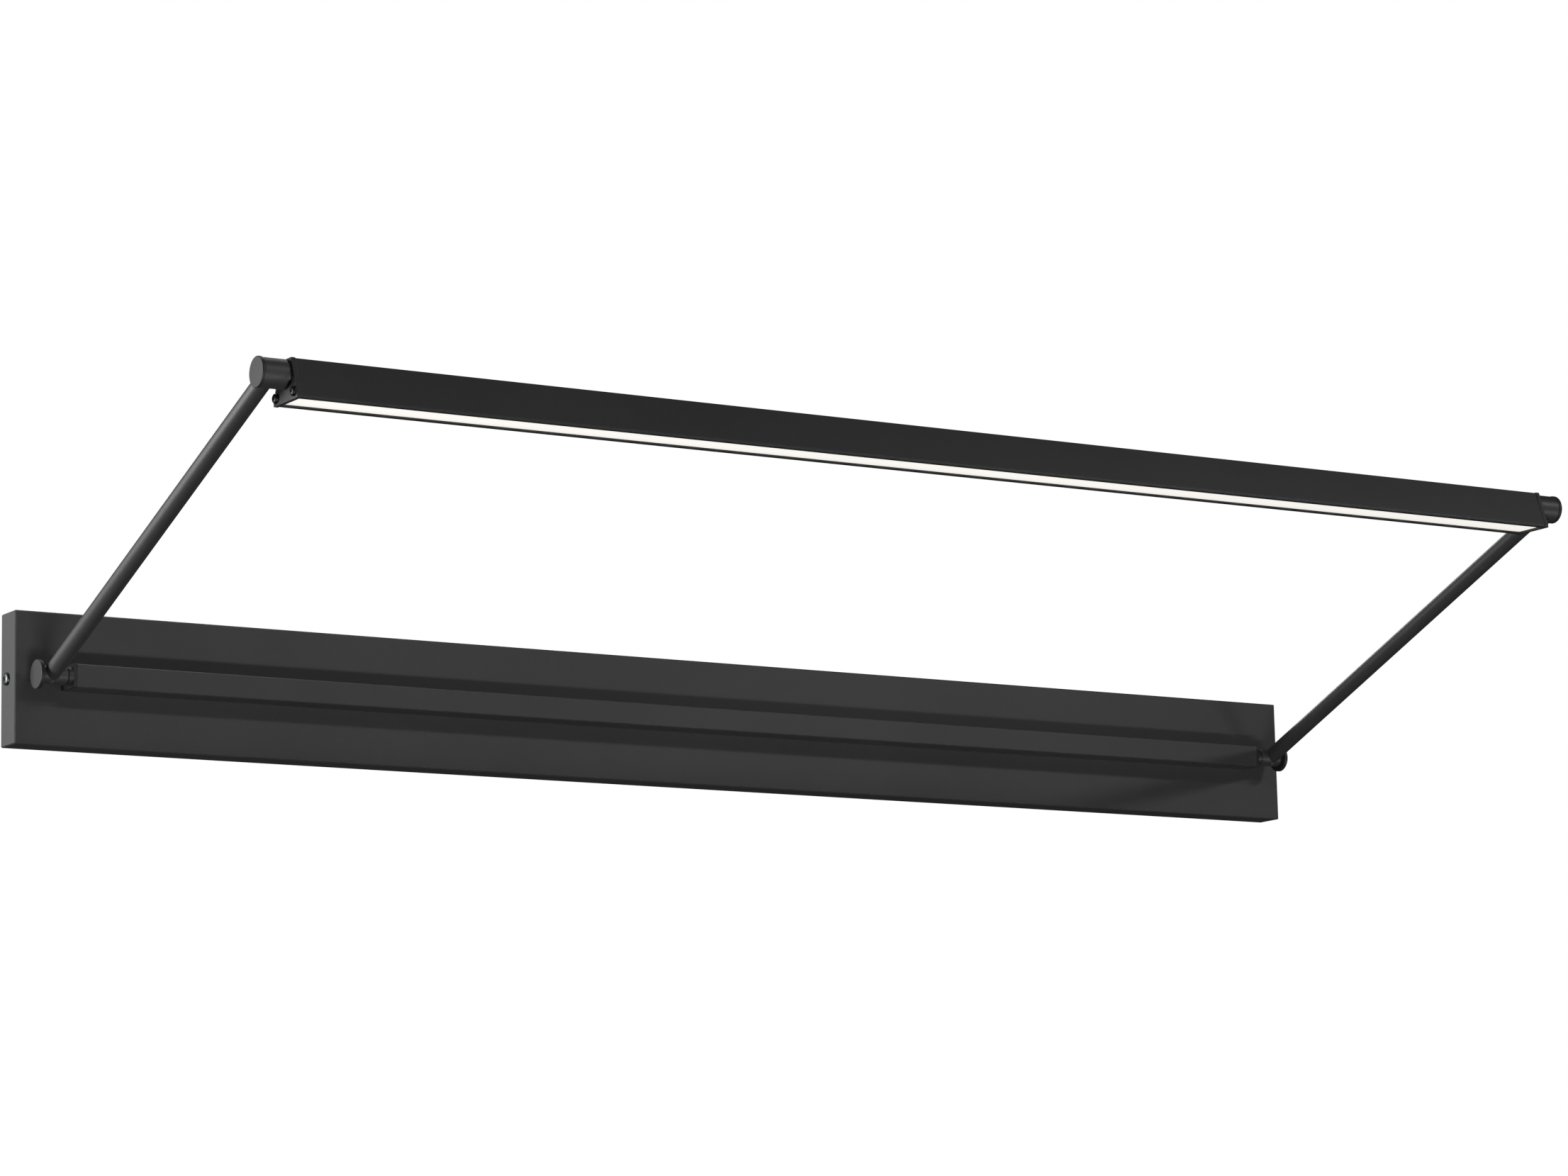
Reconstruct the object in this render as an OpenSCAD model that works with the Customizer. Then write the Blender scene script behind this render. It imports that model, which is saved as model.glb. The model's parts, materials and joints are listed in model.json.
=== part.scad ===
// Picture light for a wall: a long shallow wall pan, a rail that stands off its front,
// two round arms that swing on the ends of the rail, and an LED head that tilts between them.
//
// X runs along the wall, +Y goes into the wall (its surface is Y = 0) and +Z is up.
// The origin is the middle of the box plate's back face, between its two box screw holes.
// The light is drawn at rest: arms raised by arm_angle, light opening facing straight down.
// Pieces that come in left and right pairs are drawn for the right side and mirrored.

/* [Wall pan] */
// Length of the pan along the wall
pan_l = 1170; // [1100:5:1300]
// Height of the pan
pan_h = 100; // [90:1:120]
// Depth of the pan from the wall
pan_d = 25; // [25:0.5:30]
// Thickness of the pan's channel and its end plates
pan_t = 1.5; // [1.2:0.1:2]
// Bevel along the pan's outer edges
pan_bevel = 0.8; // [0.4:0.1:1.2]

/* [Wall bracket] */
// Height of the bracket's back
bracket_h = 70; // [60:1:80]
// Thickness of the bracket's sheet
bracket_t = 2; // [1.5:0.1:2.5]
// Distance between the two screw holes for the wall box
box_hole_span = 88.9; // [60:0.1:96]
// Distance between the two screw holes for wall anchors
anchor_hole_span = 960; // [700:10:1000]
// Diameter of the opening for the supply wires
wire_opening_d = 40; // [30:1:50]

/* [Rail] */
// Height of the rail
rail_h = 17.5; // [17:0.5:20]
// Depth of the rail in front of the pan
rail_d = 23; // [22:0.5:26]
// Wall thickness of the rail
rail_t = 1.6; // [1.2:0.1:2]

/* [Arms] */
// Distance from each end of the pan to the middle of the arm beside it
arm_inset = 21; // [19:0.5:30]
// Length of an arm from pivot to pivot
arm_len = 399; // [250:1:500]
// Rise of the arms above level at rest, in degrees
arm_angle = 22.7; // [0:0.1:45]
// Outside diameter of an arm tube
tube_d = 12.7; // [12:0.1:13]
// Wall thickness of an arm tube
tube_t = 1.2; // [1:0.1:1.4]

/* [Head] */
// Width of the head across its light opening
head_w = 35.4; // [34:0.2:40]
// Width of the head's flat top
head_top_w = 17; // [16:0.5:20]
// Height of the head
head_h = 29; // [28:0.5:32]
// Wall thickness of the head's channel
head_t = 1.6; // [1.2:0.1:2]
// Width of the light opening
opening_w = 25.2; // [20:0.2:27]
// Number of LED chips on each of the two boards
chips_per_board = 36; // [12:1:60]

/* [Hidden] */
$fn = 64;
// Overrun of a cut past the face that it opens
eps = 0.5;
// Gap between pieces that are assembled without play, such as an insert in its tube
slip = 0.1;
// Diametral play of a shaft that turns in its bore
play = 0.1;
// Gap between a pivot's shaft and the other pieces around it
pivot_gap = 0.4;

black = [0.045, 0.045, 0.048];
steel = [0.72, 0.73, 0.74];
brass = [0.78, 0.62, 0.32];

// Pan and bracket
end_x = pan_l / 2;
side_screw_y = -10.6;
side_screw_d = 5;
tab_x = end_x - pan_t - 0.6;
tab_h = 28;
tab_d = 18;
flange_d = 12;
flange_l = 1116;
box_hole_d = 5;
anchor_hole_d = 5.5;
ground_pos = [-96, -bracket_t, 22];
box_plate_l = 130;
splice_l = 30;
splice_h = 52;
rivet_pos = [8, 18];
rivet_d = 3;

// Rail
rail_back = -pan_d;
rail_front = rail_back - rail_d;
rail_mid_y = rail_back - rail_d / 2;
rail_end = end_x - arm_inset - 16;
plug_lip = 2.8;
plug_depth = 12;
rail_screw_d = 4;
rail_screw_x = [-510, -306, -102, 102, 306, 510];
lead_hole_x = 60;
lead_hole_d = 10;

// Lower pivot: its axis lies inside the rail, near the front wall
arm_x = end_x - arm_inset;
pivot_y = rail_front + 6;
spindle_d = 8;
spindle_bore = 5;
bush_l = 3;
washer_t = 0.9;
lower_d = 14;
lower_in = rail_end + 4.3;
lower_out = arm_x + 8.3;
disc_d = 22;
disc_in = lower_out + 0.3;
disc_t = 3;
spigot_d = tube_d - 2 * tube_t - slip;
spigot_l = 16;
lead_d = 2.6;
lead_shift = -0.7;
lead_hole = 4.5;
set_screw_d = 3.4;
set_screw_angle = 62;

// Upper pivot and head
up_y = pivot_y - arm_len * cos(arm_angle);
up_z = arm_len * sin(arm_angle);
upper_d = 21;
upper_in = arm_x - 10.9;
upper_out = arm_x + 7.5;
cap_d = 22;
cap_t = 2.5;
nut_pocket_d = 17;
nut_pocket_in = arm_x + 3.5;
trunnion_d = 10;
trunnion_bore = 6.5;
flange_disc_d = 16;
head_end = arm_x - 12;
end_cap_t = 3.3;
channel_end = head_end - end_cap_t;
head_top = 10.3;
head_bottom = head_top - head_h;
rim_h = 2;
rim_z = head_bottom + rim_h;
lip_t = 1.1;
web_top = -9;
web_t = 1.5;
port_pos = [13.6, -14];
port_d = 4.6;
port_hole_d = 2.5;
board_w = 12;
board_t = 1.2;
chip = [3, 3, 0.8];
head_lead_x = head_end - 22;
head_lead_d = 2;

// LED driver
driver_x = 130;
driver_l = 240;
driver_w = 38;
driver_h = 17;
driver_t = 1.2;
driver_foot = 9;
terminal_x = -150;
terminal_l = 30;
terminal_w = 24;
terminal_h = 14;
terminal_ways = [-7, 0, 7];
input_lead_z = [10, 14];

// Half width of the head's outside at height z above its pivot
function half_w(z) = z <= rim_z ? head_w / 2
  : head_top_w / 2 + (head_w - head_top_w) / 2 * (head_top - z) / (head_top - rim_z);

// Both halves of an outline that is given by its right half, from top to bottom
function both(right) = concat(right,
  [for (i = [len(right) - 1 : -1 : 0]) [-right[i][0], right[i][1]]]);

module mirror_if(left) mirror([left ? 1 : 0, 0, 0]) children();

// Both ends of the light at once
module both_ends() for (left = [false, true]) mirror_if(left) children();

// A shape drawn in Y and Z, run from x0 to x1
module along_x(x0, x1)
  translate([x0, 0, 0]) rotate([90, 0, 90]) linear_extrude(x1 - x0) children();

// A shape drawn in X and Z, run from y0 back to y1
module along_y(y0, y1)
  translate([0, y1, 0]) rotate([90, 0, 0]) linear_extrude(y1 - y0) children();

module rod_x(x0, x1, y, z, d)
  translate([x0, y, z]) rotate([0, 90, 0]) cylinder(d = d, h = x1 - x0);

module rod_y(x, y0, y1, z, d)
  translate([x, y1, z]) rotate([90, 0, 0]) cylinder(d = d, h = y1 - y0);

module box(lo, hi) translate(lo) cube(hi - lo);

// A ring about X
module ring_x(x0, x1, y, z, d, hole) difference() {
  rod_x(x0, x1, y, z, d);
  rod_x(x0 - eps, x1 + eps, y, z, hole);
}

// A disc about X whose outer rim is bevelled on its far face
module bevelled_disc_x(x0, x1, y, z, d, bevel)
  translate([x0, y, z]) rotate([0, 90, 0]) rotate_extrude()
    polygon([[0, 0], [d / 2, 0], [d / 2, x1 - x0 - bevel], [d / 2 - bevel, x1 - x0], [0, x1 - x0]]);

// A rectangle with its corners cut off
module bevelled_rect(w, h, bevel)
  polygon(both([[w / 2 - bevel, h / 2], [w / 2, h / 2 - bevel],
    [w / 2, bevel - h / 2], [w / 2 - bevel, -h / 2]]));

// The cross slot of a Phillips screw, cut down along +Z from the top of its head
module cross_slot(size, depth) for (a = [0, 90])
  rotate([0, 0, a]) translate([-size / 2, -size / 8, -depth]) cube([size, size / 4, depth + eps]);

// A pan head screw that stands at the origin: head above Z = 0, shank below
module pan_screw(d, length, head_d, head_h) difference() {
  rotate_extrude() polygon([[0, -length], [d / 2, -length], [d / 2, 0], [head_d / 2, 0],
    [head_d / 2, head_h * 0.45], [head_d * 0.36, head_h * 0.88], [head_d * 0.2, head_h], [0, head_h]]);
  translate([0, 0, head_h]) cross_slot(head_d * 0.5, head_h * 0.65);
}

// Axes of the two pivots, for the right end
module arm_frame() translate([arm_x, pivot_y, 0]) rotate([-arm_angle, 0, 0]) children();
module head_frame() translate([0, up_y, up_z]) children();

// A rod along the arm, from r0 to r1 from the lower pivot
module arm_rod(r0, r1, d, dx = 0)
  arm_frame() translate([dx, -r0, 0]) rotate([90, 0, 0]) cylinder(d = d, h = r1 - r0);

// ---- Wall unit ----

// Middle of the bracket, which is fixed to the wall box
module box_plate() color(steel) difference() {
  box([-box_plate_l / 2, -bracket_t, -bracket_h / 2], [box_plate_l / 2, 0, bracket_h / 2]);
  rod_y(0, -bracket_t - eps, eps, 0, wire_opening_d);
  for (s = [-1, 1]) rod_y(s * box_hole_span / 2, -bracket_t - eps, eps, 0, box_hole_d);
  both_ends() rivet_holes(-1, -bracket_t - eps, eps);
}

// One half of the bracket, with its folded edges and the tab that takes the pan's side screw
module bracket(left) color(steel) difference() {
  mirror_if(left) difference() {
    union() {
      box([box_plate_l / 2, -bracket_t, -bracket_h / 2], [tab_x, 0, bracket_h / 2]);
      for (s = [-1, 1]) box([box_plate_l / 2 + 20, -flange_d, s * (bracket_h - bracket_t) / 2 - bracket_t / 2],
        [flange_l / 2, -bracket_t / 2, s * (bracket_h - bracket_t) / 2 + bracket_t / 2]);
      box([tab_x - bracket_t, -tab_d, -tab_h / 2], [tab_x, 0, tab_h / 2]);
    }
    rod_y(anchor_hole_span / 2, -bracket_t - eps, eps, 0, anchor_hole_d);
    rivet_holes(1, -bracket_t - eps, eps);
    rod_x(tab_x - bracket_t - eps, tab_x + eps, side_screw_y, 0, side_screw_d + slip);
  }
  rod_y(ground_pos[0], -bracket_t - eps, eps, ground_pos[2], 4 + slip);
  for (x = driver_screw_x()) rod_y(x, -bracket_t - eps, eps, 0, 3 + slip);
}

// Holes for the rivets on one side (1 outer, -1 inner) of the right splice, from y0 to y1
module rivet_holes(side, y0, y1) for (s = [-1, 1])
  rod_y(box_plate_l / 2 + side * rivet_pos[0], y0, y1, s * rivet_pos[1], rivet_d + slip);

// Plates that join the two halves of the bracket to the box plate
module splice_plates() color(steel) both_ends() difference() {
  box([(box_plate_l - splice_l) / 2, -2 * bracket_t, -splice_h / 2],
    [(box_plate_l + splice_l) / 2, -bracket_t, splice_h / 2]);
  for (side = [-1, 1]) rivet_holes(side, -2 * bracket_t - eps, eps - bracket_t);
}

module splice_rivets() color(steel) both_ends() for (side = [-1, 1], s = [-1, 1])
  translate([box_plate_l / 2 + side * rivet_pos[0], 0, s * rivet_pos[1]]) rotate([90, 0, 0]) {
    translate([0, 0, 0.2]) cylinder(d = rivet_d, h = 2 * bracket_t - 0.2);
    translate([0, 0, 2 * bracket_t]) cylinder(d = 6, h = 1);
  }

function driver_screw_x() =
  [driver_x - driver_foot / 2, driver_x + driver_l + driver_foot / 2];

// Outline of the pan seen from its end, with its two front edges bevelled
module pan_outline() polygon([[0, -pan_h / 2], [0, pan_h / 2], [pan_bevel - pan_d, pan_h / 2],
  [-pan_d, pan_h / 2 - pan_bevel], [-pan_d, pan_bevel - pan_h / 2], [pan_bevel - pan_d, -pan_h / 2]]);

// Front, top and bottom of the pan, folded from one sheet
module pan_channel() color(black) difference() {
  along_x(pan_t - end_x, end_x - pan_t) difference() {
    pan_outline();
    translate([pan_t - pan_d, pan_t - pan_h / 2]) square([pan_d, pan_h - 2 * pan_t]);
  }
  for (x = rail_screw_x) rod_y(x, -pan_d - eps, pan_t - pan_d + eps, 0, rail_screw_d + slip);
  rod_y(lead_hole_x, -pan_d - eps, pan_t - pan_d + eps, 0, lead_hole_d);
}

// End plate, welded to the channel and bevelled all round its outer face
module pan_end(left) color(black) mirror_if(left) difference() {
  intersection() {
    along_x(end_x - pan_t, end_x) pan_outline();
    translate([0, 0, -pan_h / 2]) linear_extrude(pan_h) polygon([[end_x - pan_t, 0], [end_x, 0],
      [end_x, pan_bevel - pan_d], [end_x - pan_bevel, -pan_d], [end_x - pan_t, -pan_d]]);
    along_y(-pan_d, 0) bevelled_rect(pan_l, pan_h, pan_bevel);
  }
  rod_x(end_x - pan_t - eps, end_x + eps, side_screw_y, 0, side_screw_d + slip);
}

module pan_side_screws() color(black) both_ends()
  translate([end_x, side_screw_y, 0]) rotate([0, 90, 0]) pan_screw(side_screw_d, 8, 9.6, 2.4);

module driver_tray() color([0.75, 0.76, 0.78]) difference() {
  union() {
    box([driver_x, -bracket_t - driver_h + driver_t, -driver_w / 2],
      [driver_x + driver_l, -bracket_t, driver_w / 2]);
    box([driver_x - driver_foot, -bracket_t - driver_t, -driver_w / 2],
      [driver_x + driver_l + driver_foot, -bracket_t, driver_w / 2]);
  }
  box([driver_x + driver_t, -bracket_t - driver_h, driver_t - driver_w / 2],
    [driver_x + driver_l - driver_t, -bracket_t - driver_t, driver_w / 2 - driver_t]);
  for (x = driver_screw_x()) rod_y(x, -bracket_t - driver_t - eps, eps - bracket_t, 0, 3 + slip);
  for (z = concat([0], input_lead_z)) rod_x(driver_x - eps, driver_x + driver_t + eps, -12, z, 3.4);
}

module driver_lid() color([0.75, 0.76, 0.78])
  box([driver_x, -bracket_t - driver_h, -driver_w / 2],
    [driver_x + driver_l, -bracket_t - driver_h + driver_t, driver_w / 2]);

module driver_board() color([0.1, 0.35, 0.18])
  box([driver_x + 4, -bracket_t - driver_t - 1.6, 3 - driver_w / 2],
    [driver_x + driver_l - 4, -bracket_t - driver_t, driver_w / 2 - 3]);

// Transformer, coil, capacitors and chips on the driver's board
module driver_parts() {
  top = -bracket_t - driver_t - 1.6;
  color([0.8, 0.7, 0.2]) box([driver_x + 100, top - 11, -11], [driver_x + 128, top, 11]);
  color([0.15, 0.15, 0.16]) for (x = [24, 44, 196])
    box([driver_x + x, top - 6, -7], [driver_x + x + 12, top, 7]);
  color([0.1, 0.1, 0.3]) for (x = [72, 150, 172])
    rod_y(driver_x + x, top - 10.5, top, 4, 11);
  color(steel) for (x = [84, 140]) box([driver_x + x, top - 9, -13], [driver_x + x + 3, top, -3]);
}

module driver_screws() color(steel) for (x = driver_screw_x())
  translate([x, -bracket_t - driver_t, 0]) rotate([90, 0, 0]) pan_screw(3, 3.1, 5.6, 2);

module terminal_block() color([0.92, 0.92, 0.88]) difference() {
  box([terminal_x, -bracket_t - terminal_h, -terminal_w / 2],
    [terminal_x + terminal_l, -bracket_t, terminal_w / 2]);
  for (z = terminal_ways) {
    rod_x(terminal_x - eps, terminal_x + terminal_l + eps, -9, z, 3.2);
    for (x = [8, 22]) rod_y(terminal_x + x, -bracket_t - terminal_h - eps, -9, z, 3.8);
  }
}

module terminal_screws() color(brass) for (z = terminal_ways, x = [8, 22])
  translate([terminal_x + x, -13, z]) rotate([90, 0, 0]) difference() {
    translate([0, 0, -2]) cylinder(d = 3.5, h = 3.2);
    translate([-2, -0.3, 0.5]) cube([4, 0.6, 1]);
  }

module ground_screw() color([0.1, 0.5, 0.2]) translate(ground_pos) rotate([90, 0, 0]) difference() {
  union() {
    translate([0, 0, -1.8]) cylinder(d = 4, h = 1.8);
    cylinder(d = 9, h = 1);
    translate([0, 0, 1]) cylinder(d = 8, h = 2.6, $fn = 6);
  }
  translate([-5, -0.5, 2.6]) cube([10, 1, 1.5]);
}

// Two wires from the terminal block to the driver, in the ways that face it
module input_leads() color([0.9, 0.9, 0.9]) for (i = [0, 1]) {
  x0 = terminal_x + terminal_l - 5;
  x1 = terminal_x + terminal_l + 12 + 6 * i;
  z0 = terminal_ways[i + 1];
  z1 = input_lead_z[i];
  rod_x(x0, x1, -9, z0, 2);
  translate([x1, -9, z0]) sphere(d = 2, $fn = 24);
  translate([x1, -9, z0]) cylinder(d = 2, h = z1 - z0);
  translate([x1, -9, z1]) sphere(d = 2, $fn = 24);
  rod_y(x1, -12, -9, z1, 2);
  translate([x1, -12, z1]) sphere(d = 2, $fn = 24);
  rod_x(x1, driver_x + 3, -12, z1, 2);
}

// ---- Rail and lower pivots ----

module rail() color(black) difference() {
  along_x(plug_lip - rail_end, rail_end - plug_lip) translate([rail_mid_y, 0]) difference() {
    bevelled_rect(rail_d, rail_h, 0.6);
    square([rail_d - 2 * rail_t, rail_h - 2 * rail_t], center = true);
  }
  for (x = rail_screw_x) rod_y(x, rail_back - rail_t - eps, rail_back + eps, 0, rail_screw_d + slip);
  rod_y(lead_hole_x, rail_back - rail_t - eps, rail_back + eps, 0, lead_hole_d);
}

module rail_plug(left) color(black) mirror_if(left) difference() {
  union() {
    along_x(rail_end - plug_lip, rail_end)
      translate([rail_mid_y, 0]) bevelled_rect(rail_d, rail_h, 0.6);
    along_x(rail_end - plug_lip - plug_depth, rail_end - plug_lip) translate([rail_mid_y, 0])
      square([rail_d - 2 * rail_t - 2 * slip, rail_h - 2 * rail_t - 2 * slip], center = true);
  }
  rod_x(rail_end - plug_lip - plug_depth - eps, rail_end + eps, pivot_y, 0, spindle_d + slip / 2);
}

// Screws that hold the rail from inside the pan
module rail_screws() color(steel) for (x = rail_screw_x)
  translate([x, pan_t - pan_d, 0]) rotate([-90, 0, 0]) pan_screw(rail_screw_d, 8, 7.6, 2.2);

module rail_nuts() color(steel) for (x = rail_screw_x) difference() {
  box([x - 9, rail_back - rail_t - 3, -6], [x + 9, rail_back - rail_t, 6]);
  rod_y(x, rail_back - rail_t - 3 - eps, rail_back - rail_t + eps, 0, rail_screw_d + slip);
}

module wire_grommet() color([0.08, 0.08, 0.08]) difference() {
  union() {
    rod_y(lead_hole_x, pan_t - pan_d, pan_t - pan_d + 1.4, 0, 14);
    rod_y(lead_hole_x, rail_back - rail_t - 1.2, pan_t - pan_d, 0, lead_hole_d - 2 * slip);
  }
  rod_y(lead_hole_x, rail_back - rail_t - 3, 2 + pan_t - pan_d, 0, 6);
}

// The wire from the driver through the grommet, then along the rail into both spindles
module rail_leads() color([0.85, 0.1, 0.1]) {
  rod_x(lead_hole_x, driver_x + 3, -12, 0, lead_d);
  translate([lead_hole_x, -12, 0]) sphere(d = lead_d, $fn = 32);
  rod_y(lead_hole_x, pivot_y, -12, 0, lead_d);
  rod_x(-arm_x, arm_x, pivot_y, 0, lead_d);
}

// Hollow spindle that stands out of the rail's end; a window lets the wire into the arm
module pivot_spindle(left) color(steel) mirror_if(left) difference() {
  rod_x(rail_end - plug_lip - plug_depth, disc_in + disc_t - 0.9, pivot_y, 0, spindle_d);
  rod_x(rail_end - plug_lip - plug_depth - eps, disc_in + 1, pivot_y, 0, spindle_bore);
  box([arm_x - 2.5, pivot_y - spindle_d, -spindle_d], [arm_x + 2.5, pivot_y - 1, spindle_d]);
}

module pivot_bushes() color([0.1, 0.1, 0.1]) both_ends()
  ring_x(rail_end, rail_end + bush_l, pivot_y, 0, 13.6, spindle_d + slip);

module pivot_washers() color([0.1, 0.1, 0.1]) both_ends()
  ring_x(rail_end + bush_l, rail_end + bush_l + washer_t, pivot_y, 0, 13.6, spindle_d + slip);

// Disc that is screwed on the spindle's end and clamps the arm
module pivot_disc(left) color(black) mirror_if(left) difference() {
  bevelled_disc_x(disc_in, disc_in + disc_t, pivot_y, 0, disc_d, 0.5);
  rod_x(disc_in - eps, disc_in + disc_t - 0.8, pivot_y, 0, spindle_d + slip / 2);
}

// ---- Arms ----

module lower_knuckle(left) color(black) mirror_if(left) difference() {
  union() {
    rod_x(lower_in, lower_out, pivot_y, 0, lower_d);
    arm_rod(spindle_d / 2 + 1, lower_d / 2 + spigot_l, spigot_d);
  }
  rod_x(lower_in - eps, lower_out + eps, pivot_y, 0, spindle_d + play);
  arm_rod(0, lower_d / 2 + spigot_l + eps, lead_hole);
  set_screw_frame() cylinder(d = set_screw_d + slip, h = lower_d);
}

// Axis of the set screw, pointing out of the right knuckle and below the arm
module set_screw_frame()
  translate([arm_x, pivot_y, 0]) rotate([90 + set_screw_angle, 0, 0]) children();

module set_screw(left) color(steel) mirror_if(left) set_screw_frame() difference() {
  translate([0, 0, spindle_d / 2 + pivot_gap]) cylinder(d = set_screw_d, h = 2.5);
  translate([0, 0, lower_d / 2 - 1.6]) cylinder(d = 1.8, h = 3, $fn = 6);
}

// Tube whose two ends are cut to the round of the knuckles that they meet
module arm_tube(left) color(black) mirror_if(left) difference() {
  arm_rod(2, arm_len - upper_d / 2 + 3, tube_d);
  arm_rod(0, arm_len, tube_d - 2 * tube_t);
  rod_x(lower_in - eps, lower_out + eps, pivot_y, 0, lower_d + slip / 2);
  rod_x(upper_in - eps, upper_out + eps, up_y, up_z, upper_d + slip / 2);
}

module upper_knuckle(left) color(black) mirror_if(left) difference() {
  union() {
    rod_x(upper_in, upper_out, up_y, up_z, upper_d);
    arm_rod(arm_len - upper_d / 2 - spigot_l, arm_len - trunnion_d / 2 - 1, spigot_d);
  }
  rod_x(upper_in - eps, upper_out + eps, up_y, up_z, trunnion_d + play);
  rod_x(nut_pocket_in, upper_out + eps, up_y, up_z, nut_pocket_d);
  arm_rod(arm_len - upper_d / 2 - spigot_l - eps, arm_len, 4.4, -1.5);
}

module knuckle_cap(left) color(black) mirror_if(left)
  bevelled_disc_x(upper_out, upper_out + cap_t, up_y, up_z, cap_d, 0.6);

// The wire inside one arm, from the spindle's window to the trunnion's window
module arm_lead(left) color([0.85, 0.1, 0.1]) mirror_if(left)
  arm_rod(spindle_d / 2 + pivot_gap, arm_len - trunnion_d / 2 - pivot_gap, lead_d, lead_shift);

// ---- Head ----

// Outline of the head, grown by a margin
module head_outline(margin) polygon(both([
  [head_top_w / 2 + margin, head_top + margin],
  [head_w / 2 + margin, rim_z],
  [head_w / 2 + margin, head_bottom - margin]]));

// Aluminium channel: wire chamber on top, light chamber below, lips beside the opening
module head_channel() color(black) head_frame() difference() {
  along_x(-channel_end, channel_end) difference() {
    head_outline(0);
    polygon(both([[half_w(head_top - head_t) - head_t, head_top - head_t],
      [half_w(web_top) - head_t, web_top]]));
    difference() {
      polygon(both([[half_w(web_top - web_t) - head_t, web_top - web_t],
        [head_w / 2 - head_t, rim_z], [head_w / 2 - head_t, head_bottom + lip_t]]));
      for (s = [-1, 1]) translate([s * port_pos[0], port_pos[1]]) circle(d = port_d);
    }
    for (s = [-1, 1]) translate([s * port_pos[0], port_pos[1]]) circle(d = port_hole_d);
    translate([-opening_w / 2, head_bottom - eps]) square([opening_w, lip_t + 2 * eps]);
  }
  both_ends() translate([head_lead_x, 0, web_top - web_t - eps]) cylinder(d = 4, h = web_t + 2 * eps);
}

module led_boards() color([0.95, 0.95, 0.93]) head_frame() both_ends()
  box([0.5, -board_w / 2, web_top - web_t - board_t], [channel_end - 2, board_w / 2, web_top - web_t]);

module led_chips() color([0.98, 0.85, 0.35]) head_frame() both_ends() {
  pitch = (channel_end - 2) / chips_per_board;
  for (i = [0 : chips_per_board - 1])
    translate([(i + 0.5) * pitch - chip[0] / 2, -chip[1] / 2, web_top - web_t - board_t - chip[2]])
      cube(chip);
}

// Flat opal strip lying on the channel's lips
module diffuser() color([0.97, 0.96, 0.92]) head_frame() along_x(0.2 - channel_end, channel_end - 0.2)
  polygon(both([[head_w / 2 - head_t - 0.3, head_bottom + lip_t + 1.1],
    [head_w / 2 - head_t - 0.3, head_bottom + lip_t]]));

module end_cap(left) color(black) mirror_if(left) head_frame() difference() {
  along_x(channel_end, head_end) head_outline(0.4);
  rod_x(channel_end - eps, head_end + eps, 0, 0, trunnion_d + slip);
  for (s = [-1, 1]) rod_x(channel_end - eps, head_end + eps, s * port_pos[0], port_pos[1], 2.9);
}

module end_cap_screws() color([0.1, 0.1, 0.1]) head_frame() both_ends() for (s = [-1, 1])
  translate([head_end, s * port_pos[0], port_pos[1]]) rotate([0, 90, 0])
    pan_screw(port_hole_d - slip, 12, 7, 2.6);

// Hollow pivot bolt: flange inside the head, window for the wire inside the knuckle
module trunnion(left) color(steel) mirror_if(left) head_frame() difference() {
  union() {
    rod_x(channel_end - 2.5, channel_end, 0, 0, flange_disc_d);
    rod_x(channel_end, upper_out - 0.5, 0, 0, trunnion_d);
  }
  rod_x(channel_end - 3, upper_out - 2, 0, 0, trunnion_bore);
  rotate([-arm_angle, 0, 0])
    box([arm_x - 4.2, 1.5, -trunnion_d], [arm_x + 1.2, trunnion_d, trunnion_d]);
}

module trunnion_nuts() color(steel) head_frame() both_ends() difference() {
  translate([nut_pocket_in + 0.4, 0, 0]) rotate([0, 90, 0]) cylinder(d = 15.6, h = 2.8, $fn = 6);
  rod_x(nut_pocket_in, upper_out, 0, 0, trunnion_d + slip / 2);
}

module tilt_washers() color(steel) head_frame() both_ends()
  ring_x(head_end, upper_in - pivot_gap, 0, 0, 17, trunnion_d + slip);

// Wires from the trunnions down through the channel's web to the LED boards
module head_leads() color([0.85, 0.1, 0.1]) head_frame() both_ends() {
  rod_x(head_lead_x, arm_x - 1, 0, 0, head_lead_d);
  translate([head_lead_x, 0, 0]) sphere(d = head_lead_d, $fn = 24);
  translate([head_lead_x, 0, web_top - web_t]) cylinder(d = head_lead_d, h = web_t - web_top);
}

box_plate();
bracket(true);  // bracket_left
bracket(false);  // bracket_right
splice_plates();
splice_rivets();
pan_channel();
pan_end(true);  // pan_end_left
pan_end(false);  // pan_end_right
pan_side_screws();
driver_tray();
driver_lid();
driver_board();
driver_parts();
driver_screws();
terminal_block();
terminal_screws();
ground_screw();
input_leads();
rail();
rail_plug(true);  // rail_plug_left
rail_plug(false);  // rail_plug_right
rail_screws();
rail_nuts();
wire_grommet();
rail_leads();
pivot_spindle(true);  // pivot_spindle_left
pivot_spindle(false);  // pivot_spindle_right
pivot_bushes();
pivot_washers();
pivot_disc(true);  // pivot_disc_left
pivot_disc(false);  // pivot_disc_right
lower_knuckle(true);  // lower_knuckle_left
lower_knuckle(false);  // lower_knuckle_right
arm_tube(true);  // arm_tube_left
arm_tube(false);  // arm_tube_right
upper_knuckle(true);  // upper_knuckle_left
upper_knuckle(false);  // upper_knuckle_right
knuckle_cap(true);  // knuckle_cap_left
knuckle_cap(false);  // knuckle_cap_right
set_screw(true);  // set_screw_left
set_screw(false);  // set_screw_right
arm_lead(true);  // arm_lead_left
arm_lead(false);  // arm_lead_right
head_channel();
led_boards();
led_chips();
diffuser();
end_cap(true);  // end_cap_left
end_cap(false);  // end_cap_right
end_cap_screws();
trunnion(true);  // trunnion_left
trunnion(false);  // trunnion_right
trunnion_nuts();
tilt_washers();
head_leads();
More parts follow.
